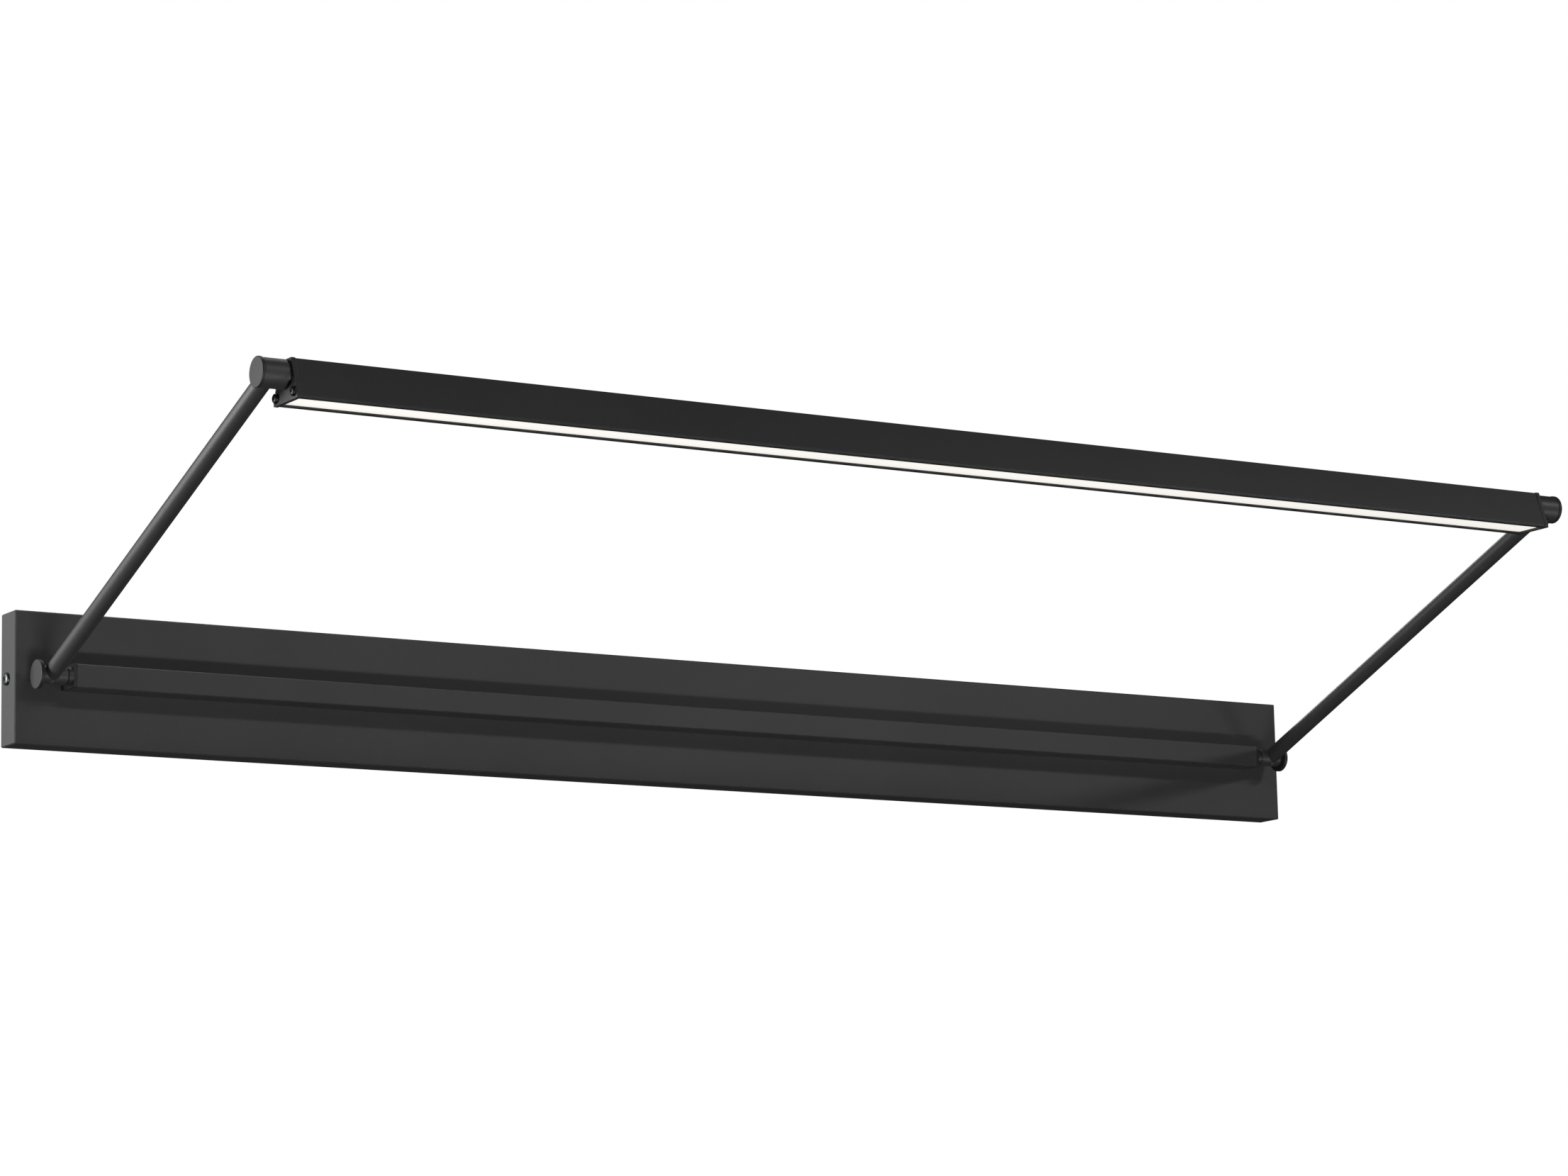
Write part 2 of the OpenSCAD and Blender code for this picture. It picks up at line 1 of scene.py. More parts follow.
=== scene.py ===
"""A black picture light for a wall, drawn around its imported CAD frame.

A shallow pan hides the LED driver. A rail stands off the pan's front and carries, on a hollow spindle at each
end, two round arms that swing together. The LED head turns on trunnions between the arms' upper knuckles.
+X runs along the wall, +Y goes into it and +Z is up. Right-hand pieces are made first and mirrored.
"""

import json
import math

import bmesh
import bpy
from mathutils import Matrix, Vector

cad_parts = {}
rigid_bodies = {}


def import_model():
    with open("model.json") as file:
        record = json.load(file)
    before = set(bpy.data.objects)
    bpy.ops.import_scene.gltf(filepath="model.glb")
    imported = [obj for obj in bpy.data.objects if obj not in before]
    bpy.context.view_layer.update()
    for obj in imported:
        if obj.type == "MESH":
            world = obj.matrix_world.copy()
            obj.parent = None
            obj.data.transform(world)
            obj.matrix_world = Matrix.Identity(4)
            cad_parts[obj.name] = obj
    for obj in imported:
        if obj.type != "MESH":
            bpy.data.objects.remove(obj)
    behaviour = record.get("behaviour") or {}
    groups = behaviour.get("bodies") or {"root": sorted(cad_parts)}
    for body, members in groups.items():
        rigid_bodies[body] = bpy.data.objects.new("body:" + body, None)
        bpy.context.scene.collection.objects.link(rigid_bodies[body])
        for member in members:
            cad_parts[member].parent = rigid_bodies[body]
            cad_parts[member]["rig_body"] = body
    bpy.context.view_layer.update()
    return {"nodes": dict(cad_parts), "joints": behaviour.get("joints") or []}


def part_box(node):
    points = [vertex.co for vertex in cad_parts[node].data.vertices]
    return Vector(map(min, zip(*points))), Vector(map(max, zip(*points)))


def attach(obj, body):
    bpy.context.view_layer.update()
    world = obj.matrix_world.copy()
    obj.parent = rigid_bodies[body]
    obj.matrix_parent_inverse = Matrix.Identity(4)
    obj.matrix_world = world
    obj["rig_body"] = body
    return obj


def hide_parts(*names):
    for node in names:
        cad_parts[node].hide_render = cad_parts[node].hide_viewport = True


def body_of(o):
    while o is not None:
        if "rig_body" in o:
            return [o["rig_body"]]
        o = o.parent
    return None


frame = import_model()

MM = 0.001
SIDES = {"right": 1, "left": -1}
ROUND = 96  # segments of a turned piece
BEVELLED = math.radians(34)  # edges steeper than this are rounded
CREASED = math.radians(50)  # edges steeper than this stay sharp in the shading
FLAT = math.radians(1.5)  # faces that meet at less than this are merged

joint = {j["name"]: j for j in frame["joints"]}
pivot = Vector(joint["arm_swing_right"]["pos_m"])  # on the arms' lower axis
tilt = Vector(joint["head_tilt"]["pos_m"])  # on the head's axis
arm_rise = math.atan2(tilt.z - pivot.z, pivot.y - tilt.y)
arm_length = math.hypot(tilt.z - pivot.z, pivot.y - tilt.y)
along_arm = Vector((0, -math.cos(arm_rise), math.sin(arm_rise)))
across_arm = Vector((0, math.sin(arm_rise), math.cos(arm_rise)))


# ---- Camera, floor and light ----

CAMERA_AT = (-1.94901, -3.26450, -0.55194)
CAMERA_YAW = math.radians(32.132)
CAMERA_PITCH = math.radians(9.901)
CAMERA_ROLL = math.radians(-1.25)
CAMERA_LENS = 109.46
FLOOR_Z = -3.0


def make_camera():
    """A camera at front left and below, looking up at the light."""
    sin_yaw, cos_yaw = math.sin(CAMERA_YAW), math.cos(CAMERA_YAW)
    sin_pitch, cos_pitch = math.sin(CAMERA_PITCH), math.cos(CAMERA_PITCH)
    look = Vector((sin_yaw * cos_pitch, cos_yaw * cos_pitch, sin_pitch))
    level_right = Vector((cos_yaw, -sin_yaw, 0))
    level_up = Vector((-sin_yaw * sin_pitch, -cos_yaw * sin_pitch, cos_pitch))
    right = math.cos(CAMERA_ROLL) * level_right + math.sin(CAMERA_ROLL) * level_up
    up = math.cos(CAMERA_ROLL) * level_up - math.sin(CAMERA_ROLL) * level_right
    data = bpy.data.cameras.new("camera")
    data.sensor_width = 36
    data.lens = CAMERA_LENS
    data.clip_start, data.clip_end = 0.05, 100
    camera = bpy.data.objects.new("camera", data)
    turn = Matrix((right, up, -look)).transposed()
    camera.matrix_world = Matrix.Translation(CAMERA_AT) @ turn.to_4x4()
    bpy.context.scene.collection.objects.link(camera)
    bpy.context.scene.camera = camera


def softbox(name, at, target, size, power):
    """A rectangular soft light at a point, facing a target."""
    data = bpy.data.lights.new(name, "AREA")
    data.shape = "RECTANGLE"
    data.size, data.size_y = size
    data.energy = power
    light = bpy.data.objects.new(name, data)
    light.location = at
    light.rotation_mode = "QUATERNION"
    light.rotation_quaternion = (Vector(target) - Vector(at)).to_track_quat("-Z", "Y")
    bpy.context.scene.collection.objects.link(light)


def make_world(seen, given):
    """A plain pale studio: the sky's brightness as seen, and as it lights the object."""
    world = bpy.data.worlds.new("studio")
    bpy.context.scene.world = world
    world.use_nodes = True
    nodes, links = world.node_tree.nodes, world.node_tree.links
    nodes.clear()
    out = nodes.new("ShaderNodeOutputWorld")
    pale = nodes.new("ShaderNodeBackground")
    pale.inputs["Color"].default_value = (1, 1, 1, 1)
    pale.inputs["Strength"].default_value = seen
    fill = nodes.new("ShaderNodeBackground")
    fill.inputs["Color"].default_value = (1, 1, 1, 1)
    fill.inputs["Strength"].default_value = given
    path = nodes.new("ShaderNodeLightPath")
    mix = nodes.new("ShaderNodeMixShader")
    links.new(path.outputs["Is Camera Ray"], mix.inputs["Fac"])
    links.new(fill.outputs[0], mix.inputs[1])
    links.new(pale.outputs[0], mix.inputs[2])
    links.new(mix.outputs[0], out.inputs["Surface"])


def make_floor():
    """A wide pale floor well below the light, which puts no light on it."""
    half = 30
    mesh = bpy.data.meshes.new("floor")
    corners = [(-half, -half), (half, -half), (half, half), (-half, half)]
    mesh.from_pydata([(x, y, FLOOR_Z) for x, y in corners], [], [(0, 1, 2, 3)])
    floor = bpy.data.objects.new("floor", mesh)
    bpy.context.scene.collection.objects.link(floor)
    paint = bpy.data.materials.new("floor_paint")
    paint.use_nodes = True
    shader = paint.node_tree.nodes["Principled BSDF"]
    shader.inputs["Base Color"].default_value = (0.78, 0.78, 0.77, 1)
    shader.inputs["Roughness"].default_value = 0.8
    shader.inputs["Emission Color"].default_value = (1, 1, 1, 1)
    shader.inputs["Emission Strength"].default_value = 0.62
    mesh.materials.append(paint)
    floor.visible_diffuse = False
    floor.visible_glossy = False


bpy.context.scene.view_settings.view_transform = "Standard"
make_camera()
make_world(seen=1.0, given=0.035)
make_floor()
# The lights in front stand at equal slopes above and below, so the rail's two shadows are equally tall.
softbox("below", (-0.8, -2.4, -1.34), (0, 0, 0), (1.0, 0.12), 40)
softbox("below_right", (2.0, -2.4, -1.34), (0.2, 0, 0), (0.8, 0.2), 15)
softbox("above", (-0.15, -2.3, 1.28), (0, 0, 0), (0.7, 0.12), 6.5)
softbox("above_right", (2.2, -2.6, 1.45), (0.2, 0, 0), (0.8, 0.16), 17)
softbox("left", (-1.7, 0.25, 0.05), (-0.57, -0.1, 0.05), (0.5, 0.8), 23)
softbox("back_left", (-2.2, 1.4, 0.6), (-0.57, -0.1, 0.05), (1.4, 1.4), 17)
softbox("back", (1.4, 3.4, 1.8), (0, 0, 0), (2.4, 1.4), 40)
softbox("top", (0, 0.9, 3.2), (0, 0, 0), (2.4, 1.2), 30)


# ---- Materials ----


class Paint:
    """A node material under construction: its shader, and short ways to add nodes."""

    def __init__(self, name):
        self.material = bpy.data.materials.new(name)
        self.material.use_nodes = True
        self.nodes = self.material.node_tree.nodes
        self.links = self.material.node_tree.links
        self.shader = self.nodes["Principled BSDF"]
        self.place = self.nodes.new("ShaderNodeTexCoord").outputs["Object"]

    def set(self, **values):
        for key, value in values.items():
            self.shader.inputs[key.replace("_", " ")].default_value = value

    def noise(self, scale, detail=3, stretch=(1, 1, 1), roughness=0.5):
        """Noise with features about 1 / scale metres across, longer along a small stretch."""
        mapping = self.nodes.new("ShaderNodeMapping")
        mapping.inputs["Scale"].default_value = stretch
        self.links.new(self.place, mapping.inputs["Vector"])
        node = self.nodes.new("ShaderNodeTexNoise")
        node.inputs["Scale"].default_value = scale
        node.inputs["Detail"].default_value = detail
        node.inputs["Roughness"].default_value = roughness
        self.links.new(mapping.outputs[0], node.inputs["Vector"])
        return node.outputs["Fac"]

    def remap(self, value, low, high, new_low=0, new_high=1):
        node = self.nodes.new("ShaderNodeMapRange")
        for slot, number in zip(("From Min", "From Max", "To Min", "To Max"), (low, high, new_low, new_high)):
            node.inputs[slot].default_value = number
        self.links.new(value, node.inputs["Value"])
        return node.outputs[0]

    def math(self, how, a, b):
        node = self.nodes.new("ShaderNodeMath")
        node.operation = how
        for socket, value in zip(node.inputs, (a, b)):
            if isinstance(value, (int, float)):
                socket.default_value = value
            else:
                self.links.new(value, socket)
        return node.outputs[0]

    def mix(self, factor, a, b):
        """A colour between a and b, each a colour or a socket."""
        node = self.nodes.new("ShaderNodeMix")
        node.data_type = "RGBA"
        self.links.new(factor, node.inputs["Factor"])
        for socket, value in zip((node.inputs[6], node.inputs[7]), (a, b)):
            if isinstance(value, tuple):
                socket.default_value = (*value, 1)
            else:
                self.links.new(value, socket)
        return node.outputs[2]

    def edges(self, radius):
        """1 along sharp edges and 0 on flat faces further from them than the radius."""
        bevel = self.nodes.new("ShaderNodeBevel")
        bevel.samples = 4
        bevel.inputs["Radius"].default_value = radius
        geometry = self.nodes.new("ShaderNodeNewGeometry")
        dot = self.nodes.new("ShaderNodeVectorMath")
        dot.operation = "DOT_PRODUCT"
        self.links.new(bevel.outputs[0], dot.inputs[0])
        self.links.new(geometry.outputs["Normal"], dot.inputs[1])
        return self.remap(dot.outputs["Value"], 0.995, 0.93)

    def bump(self, *layers):
        """Bumps from (height, depth in metres) layers, one on top of the other."""
        normal = None
        for height, depth in layers:
            node = self.nodes.new("ShaderNodeBump")
            node.inputs["Strength"].default_value = 1
            node.inputs["Distance"].default_value = depth
            self.links.new(height, node.inputs["Height"])
            if normal:
                self.links.new(normal, node.inputs["Normal"])
            normal = node.outputs[0]
        self.links.new(normal, self.shader.inputs["Normal"])

    def to(self, socket, value):
        self.links.new(value, self.shader.inputs[socket])


def powder_coat(name, dark, light, roughness, ior):
    """Satin powder coat: a fine orange peel, slow drifts of tone and slightly rubbed edges."""
    paint = Paint(name)
    drift = paint.noise(9, 4)
    dust = paint.noise(420, 5, roughness=0.65)
    peel = paint.noise(1300, 2)
    grain = paint.noise(5200, 1)
    rubbed = paint.math("MULTIPLY", paint.edges(0.7 * MM), paint.remap(paint.noise(160, 4), 0.35, 0.7))
    tone = paint.mix(paint.remap(drift, 0.3, 0.7), dark, light)
    dusty = paint.mix(paint.remap(dust, 0.58, 0.85, 0, 0.22), tone, (0.09, 0.088, 0.085))
    paint.to("Base Color", paint.mix(paint.math("MULTIPLY", rubbed, 0.55), dusty, (0.085, 0.085, 0.088)))
    uneven = paint.remap(dust, 0.3, 0.7, roughness - 0.05, roughness + 0.05)
    paint.to("Roughness", paint.math("SUBTRACT", uneven, paint.math("MULTIPLY", rubbed, 0.08)))
    paint.set(IOR=ior)
    paint.bump((peel, 0.013 * MM), (grain, 0.003 * MM))
    return paint.material


def metal(name, colour, dull, roughness, grain_along=(0.04, 1, 1)):
    """Bare metal with fine tool marks along one direction and a little tarnish."""
    paint = Paint(name)
    marks = paint.noise(2600, 3, grain_along)
    tarnish = paint.noise(130, 5, roughness=0.6)
    worn = paint.edges(0.4 * MM)
    stained = paint.mix(paint.remap(tarnish, 0.45, 0.8, 0, 0.6), colour, dull)
    paint.to("Base Color", paint.mix(paint.math("MULTIPLY", worn, 0.4), stained, colour))
    paint.to("Roughness", paint.remap(marks, 0.3, 0.7, roughness - 0.07, roughness + 0.09))
    paint.set(Metallic=1)
    paint.bump((marks, 0.006 * MM))
    return paint.material


def moulded(name, colour, shade, roughness, texture=900):
    """Moulded plastic or rubber with a fine mould texture and faint flow marks."""
    paint = Paint(name)
    skin = paint.noise(texture, 3)
    flow = paint.noise(60, 3, (0.3, 1, 1))
    edge = paint.edges(0.4 * MM)
    body = paint.mix(paint.remap(flow, 0.35, 0.7), shade, colour)
    paint.to("Base Color", paint.mix(paint.math("MULTIPLY", edge, 0.25), body, colour))
    paint.to("Roughness", paint.remap(skin, 0.3, 0.7, roughness - 0.06, roughness + 0.06))
    paint.bump((skin, 0.01 * MM))
    return paint.material


def circuit_board(name, mask, copper, pitch):
    """A solder mask with raised tracks along the board and a faint weave under it."""
    paint = Paint(name)
    wave = paint.nodes.new("ShaderNodeTexWave")
    wave.bands_direction = "Z"
    wave.inputs["Scale"].default_value = 1 / pitch
    wave.inputs["Distortion"].default_value = 3
    paint.links.new(paint.place, wave.inputs["Vector"])
    tracks = paint.remap(wave.outputs["Fac"], 0.62, 0.68)
    weave = paint.noise(1800, 2)
    paint.to("Base Color", paint.mix(tracks, mask, copper))
    paint.to("Roughness", paint.remap(weave, 0.3, 0.7, 0.32, 0.42))
    paint.bump((tracks, 0.02 * MM), (weave, 0.004 * MM))
    return paint.material


def opal(name, glow, strength):
    """Opal plastic lit from behind: brightest down its middle, with a fine frosted skin."""
    paint = Paint(name)
    frost = paint.noise(2400, 2)
    cloud = paint.noise(14, 3)
    split = paint.nodes.new("ShaderNodeSeparateXYZ")
    paint.links.new(paint.place, split.inputs[0])
    off_middle = paint.math("ABSOLUTE", paint.math("SUBTRACT", split.outputs["Y"], tilt.y), 0)
    middle = paint.remap(off_middle, 0.004, 0.013, 1.0, 0.9)
    paint.to("Base Color", paint.mix(paint.remap(cloud, 0.3, 0.7), (0.50, 0.49, 0.475), (0.53, 0.52, 0.505)))
    paint.to("Roughness", paint.remap(frost, 0.3, 0.7, 0.42, 0.52))
    paint.set(Emission_Color=(*glow, 1))
    brightness = paint.math("MULTIPLY", middle, paint.remap(cloud, 0.3, 0.7, 0.985 * strength, strength))
    paint.to("Emission Strength", brightness)
    paint.bump((frost, 0.006 * MM))
    return paint.material


coat = powder_coat("satin_black_coat", (0.0280, 0.0280, 0.0290), (0.0340, 0.0340, 0.0350), 0.46, 1.48)
coat_head = powder_coat("satin_black_head", (0.0165, 0.0165, 0.0172), (0.0205, 0.0205, 0.0213), 0.50, 1.38)
black_oxide = metal("black_oxide", (0.030, 0.030, 0.032), (0.018, 0.018, 0.019), 0.42)
black_nickel = metal("black_nickel", (0.10, 0.10, 0.104), (0.06, 0.06, 0.063), 0.36)
bright_steel = metal("bright_steel", (0.62, 0.62, 0.63), (0.42, 0.41, 0.39), 0.30)
zinc = metal("zinc_plate", (0.50, 0.51, 0.52), (0.36, 0.37, 0.36), 0.50, (0.08, 1, 1))
brass = metal("turned_brass", (0.72, 0.55, 0.26), (0.48, 0.34, 0.14), 0.28)
green_steel = metal("green_dyed_steel", (0.06, 0.30, 0.12), (0.03, 0.16, 0.07), 0.34)
black_acetal = moulded("black_acetal", (0.022, 0.022, 0.022), (0.014, 0.014, 0.014), 0.45)
black_rubber = moulded("black_rubber", (0.020, 0.020, 0.020), (0.012, 0.012, 0.012), 0.70, 1400)
white_nylon = moulded("white_nylon", (0.80, 0.80, 0.74), (0.70, 0.70, 0.64), 0.48)
white_wire = moulded("white_insulation", (0.76, 0.76, 0.74), (0.66, 0.66, 0.64), 0.50, 1600)
red_wire = moulded("red_insulation", (0.52, 0.035, 0.025), (0.40, 0.025, 0.02), 0.45, 1600)
parts_resin = moulded("component_resin", (0.16, 0.14, 0.09), (0.08, 0.08, 0.08), 0.40)
driver_board = circuit_board("driver_mask", (0.02, 0.16, 0.06), (0.05, 0.28, 0.10), 0.02)
led_board = circuit_board("led_mask", (0.78, 0.78, 0.75), (0.68, 0.67, 0.62), 0.03)
phosphor = moulded("phosphor", (0.86, 0.66, 0.12), (0.80, 0.58, 0.08), 0.35, 3000)
lit_opal = opal("lit_opal", (1.0, 0.968, 0.915), 0.75)


# ---- Mesh code ----


def to_object(bm, name):
    """An object with a bmesh's shape. The bmesh is freed."""
    mesh = bpy.data.meshes.new(name)
    bmesh.ops.recalc_face_normals(bm, faces=bm.faces)
    bm.to_mesh(mesh)
    bm.free()
    made = bpy.data.objects.new(name, mesh)
    bpy.context.scene.collection.objects.link(made)
    return made


def shown(bm, name, material, body, replaces):
    """A piece that rides on a body in place of a CAD node."""
    piece = to_object(bm, name)
    piece.data.materials.append(material)
    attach(piece, body)
    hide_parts(replaces)
    return piece


def settle(piece):
    """Applies the piece's modifiers to its mesh."""
    bpy.context.view_layer.update()
    graph = bpy.context.evaluated_depsgraph_get()
    mesh = bpy.data.meshes.new_from_object(piece.evaluated_get(graph))
    piece.modifiers.clear()
    piece.data = mesh


def soften(piece, width, segments=3):
    """Rounds the piece's edges and evens its shading."""
    bevel = piece.modifiers.new("bevel", "BEVEL")
    bevel.width = width
    bevel.segments = segments
    bevel.limit_method = "ANGLE"
    bevel.angle_limit = BEVELLED
    bevel.miter_outer = "MITER_ARC"
    settle(piece)
    piece.data.shade_smooth()
    piece.data.set_sharp_from_angle(angle=CREASED)
    weighted = piece.modifiers.new("weighted", "WEIGHTED_NORMAL")
    weighted.keep_sharp = True
    settle(piece)


def combine(piece, bm, how):
    """Joins a solid to the piece, or cuts it out."""
    tool = to_object(bm, "tool")
    boolean = piece.modifiers.new("boolean", "BOOLEAN")
    boolean.operation = how
    boolean.solver = "EXACT"
    boolean.object = tool
    settle(piece)
    bpy.data.objects.remove(tool)


def bridge(bm, rings):
    """Faces from each ring of vertices to the next, and from the last one back to the first."""
    for one, two in zip(rings, rings[1:] + rings[:1]):
        for i in range(len(one)):
            j = (i + 1) % len(one)
            corners = list(dict.fromkeys([one[i], one[j], two[j], two[i]]))
            if len(corners) > 2:
                bm.faces.new(corners)


def turned(profile, at, axis, segments=ROUND):
    """A solid of revolution. The profile is a closed loop of (radius, distance along the axis)."""
    axis = Vector(axis).normalized()
    side = axis.orthogonal().normalized()
    other = axis.cross(side)
    angles = [2 * math.pi * i / segments for i in range(segments)]
    spokes = [math.cos(a) * side + math.sin(a) * other for a in angles]
    bm = bmesh.new()
    rings = []
    for radius, distance in profile:
        middle = Vector(at) + axis * distance
        if radius == 0:
            rings.append([bm.verts.new(middle)] * segments)
        else:
            rings.append([bm.verts.new(middle + radius * spoke) for spoke in spokes])
    bridge(bm, rings)
    return bm


def block(at, size, turn=0):
    """A box about a point, turned about X."""
    bm = bmesh.new()
    bmesh.ops.create_cube(bm, size=1)
    place = Matrix.Translation(at) @ Matrix.Rotation(turn, 4, "X") @ Matrix.Diagonal((*size, 1))
    bmesh.ops.transform(bm, verts=bm.verts, matrix=place)
    return bm


def rod(radius, near, far):
    """Profile of a plain rod."""
    return [(0, near), (radius, near), (radius, far), (0, far)]


def fillet(corner, start, end, steps=5):
    """Points of a quarter round from start to end about a square corner, all (radius, distance)."""
    centre = [start[k] + end[k] - corner[k] for k in (0, 1)]
    points = []
    for i in range(steps + 1):
        angle = math.pi / 2 * i / steps
        cos, sin = math.cos(angle), math.sin(angle)
        points.append(tuple(
            centre[k] + (start[k] - centre[k]) * cos + (end[k] - centre[k]) * sin for k in (0, 1)))
    return points


def barrel(radius, bore, near, far, edge, pocket=None):
    """Profile of a bored barrel with rounded rims.

    A pocket, given as its radius and the distance of its floor, widens the bore at the far end.
    """
    outside = fillet((radius, near), (radius - edge, near), (radius, near + edge))
    outside += fillet((radius, far), (radius, far - edge), (radius - edge, far))
    if pocket:
        return outside + [(pocket[0], far), (pocket[0], pocket[1]), (bore, pocket[1]), (bore, near)]
    return outside + [(bore, far), (bore, near)]


def plate_disc(radius, near, far, near_edge, far_edge):
    """Profile of a solid disc with rounded rims."""
    return ([(0, near)] + fillet((radius, near), (radius - near_edge, near), (radius, near + near_edge))
            + fillet((radius, far), (radius, far - far_edge), (radius - far_edge, far)) + [(0, far)])


def mirrored(bm, side):
    """A right-hand solid as it is, or its mirror image for the left side."""
    if side == "left":
        bmesh.ops.transform(bm, matrix=Matrix.Scale(-1, 4, (1, 0, 0)), verts=bm.verts)
    return bm


def merged(mesh):
    """A copy of a mesh with its triangles merged into flat faces."""
    bm = bmesh.new()
    bm.from_mesh(mesh)
    bmesh.ops.remove_doubles(bm, verts=bm.verts, dist=0.001 * MM)
    bmesh.ops.dissolve_limit(bm, angle_limit=FLAT, verts=bm.verts, edges=bm.edges)
    return bm


def tidy_faces(piece):
    """Merges the flat faces that a join left split."""
    bm = merged(piece.data)
    bm.to_mesh(piece.data)
    bm.free()


def refined(node, name, material, width, segments=3):
    """A CAD solid's own shape with its edges rounded."""
    source = frame["nodes"][node]
    piece = shown(merged(source.data), name, material, body_of(source)[0], node)
    if width:
        soften(piece, width, segments)
    return piece


def recess_slot(at, axis, along, size, depth):
    """One slot of a screw's cross recess, wide at a point on its head and narrower at its floor."""
    bm = bmesh.new()
    across = axis.cross(along)
    top, bottom = [], []
    for a, b in ((-1, -1), (1, -1), (1, 1), (-1, 1)):
        wide = along * a * size / 2 + across * b * size * 0.13
        top.append(bm.verts.new(at + wide + axis * depth * 0.4))
        bottom.append(bm.verts.new(at + wide * 0.45 - axis * depth))
    bm.faces.new(top)
    bm.faces.new(bottom[::-1])
    for i in range(4):
        j = (i + 1) % 4
        bm.faces.new((top[j], top[i], bottom[i], bottom[j]))
    return bm


def screw(name, node, at, axis, head, shank, material):
    """A pan head screw with a cross recess. The head and shank, each (radius, length), meet at a point."""
    axis = Vector(axis)
    (head_radius, head_height), (shank_radius, length) = head, shank
    rim = head_height * 0.35
    dome = [(head_radius * math.cos(a) ** 0.6, rim + (head_height - rim) * math.sin(a))
            for a in (math.pi / 2 * i / 8 for i in range(9))]
    dome[-1] = (0, head_height)
    profile = [(0, -length), (shank_radius * 0.8, -length), (shank_radius, -length + shank_radius * 0.4),
               (shank_radius, 0), (head_radius - 0.15 * MM, 0), (head_radius, 0.15 * MM)] + dome
    piece = shown(turned(profile, at, axis, 64), name, material, body_of(frame["nodes"][node])[0], node)
    top = Vector(at) + axis * head_height
    slot = axis.orthogonal().normalized()
    for along in (slot, axis.cross(slot)):
        combine(piece, recess_slot(top, axis, along, head_radius * 1.1, head_height * 0.7), "DIFFERENCE")
    soften(piece, 0.12 * MM, 2)


# ---- Wall unit ----

SIDE_SCREW = (2.5 * MM, 8 * MM)  # radius and length of its shank


def make_pan():
    """The wall pan: a folded channel with its end plates welded in and ground flush."""
    pan = refined("pan_channel", "pan_folded", coat, 0)
    for side in SIDES:
        node = f"pan_end_{side}"
        combine(pan, merged(frame["nodes"][node].data), "UNION")
        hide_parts(node)
    tidy_faces(pan)
    soften(pan, 0.5 * MM)


def make_side_screw(side, sign):
    """The screw through one end of the pan into the bracket."""
    low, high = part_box("pan_side_screws")
    pan_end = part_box("pan_end_right")[1].x
    under_head = (sign * pan_end, (low.y + high.y) / 2, (low.z + high.z) / 2)
    head = ((high.y - low.y) / 2, high.x - pan_end)
    screw(f"side_screw_{side}", "pan_side_screws", under_head, (sign, 0, 0), head, SIDE_SCREW, black_nickel)


make_pan()
for node, name in {"box_plate": "plate_pressed", "bracket_left": "bracket_pressed_left",
                   "bracket_right": "bracket_pressed_right", "splice_plates": "splices_pressed"}.items():
    refined(node, name, zinc, 0.25 * MM, 2)
for side, sign in SIDES.items():
    make_side_screw(side, sign)
refined("rail", "rail_extrusion", coat, 0.6 * MM)
for side in SIDES:
    refined(f"rail_plug_{side}", f"rail_end_{side}", coat_head, 0.3 * MM)

# Small and hidden solids keep their CAD meshes.
for node, material in {
    "splice_rivets": bright_steel, "driver_tray": zinc, "driver_lid": zinc, "driver_board": driver_board,
    "driver_parts": parts_resin, "driver_screws": bright_steel, "terminal_block": white_nylon,
    "terminal_screws": brass, "ground_screw": green_steel, "input_leads": white_wire,
    "rail_screws": bright_steel, "rail_nuts": bright_steel, "wire_grommet": black_rubber,
    "rail_leads": red_wire, "arm_lead_left": red_wire, "arm_lead_right": red_wire,
    "led_boards": led_board, "led_chips": phosphor, "trunnion_nuts": bright_steel, "head_leads": red_wire,
}.items():
    source = frame["nodes"][node].data
    source.materials.clear()
    source.materials.append(material)


# ---- Pivots and arms ----

RUNNING = 0.05 * MM  # radial clearance of a pivot
LAP = 1 * MM  # how far a cutting solid runs past what it cuts
SPINDLE_RADIUS = 4 * MM
SPINDLE_BORE = 2.5 * MM
SPINDLE_WINDOW = (5 * MM, 8 * MM, 16 * MM)  # the way out for the lead, cut in the front half
WINDOW_FORWARD = 5 * MM
TUBE_WALL = 1.2 * MM
TUBE_GAP = 0.02 * MM  # between the tube's ends and the knuckles
TUBE_SEGMENTS = 72
SPIGOT = 16 * MM  # length of a knuckle's insert in its tube
LEAD_HOLE = 2.25 * MM  # radius of the lead's way through a lower knuckle
LEAD_WAY = 2.2 * MM  # radius of the lead's way through an upper knuckle
LEAD_ASIDE = -1.5 * MM  # where that way lies, from the tube's middle
TRUNNION_RADIUS = 5 * MM
TRUNNION_BORE = 3.25 * MM
TRUNNION_FLANGE = 2.5 * MM
TRUNNION_END = 1.5 * MM  # thickness of its closed end
TRUNNION_WINDOW = (5.4 * MM, 10 * MM, 16 * MM)
TRUNNION_WINDOW_DOWN = 6.5 * MM  # from the tilt axis towards the arm
NUT_POCKET = 8.5 * MM  # radius of the upper knuckle's pocket for the trunnion's nut
NUT_REACH = 3.2 * MM  # from the pocket's floor to the nut's outer face
SET_SCREW_RADIUS = 1.7 * MM
SET_SCREW_ANGLE = math.radians(62)  # below level, on the barrel's front
SET_SCREW_SOCKET = (0.9 * MM, 1.5 * MM)  # radius and depth
HAIRLINE = 0.02 * MM  # a bevel that only guides the shading

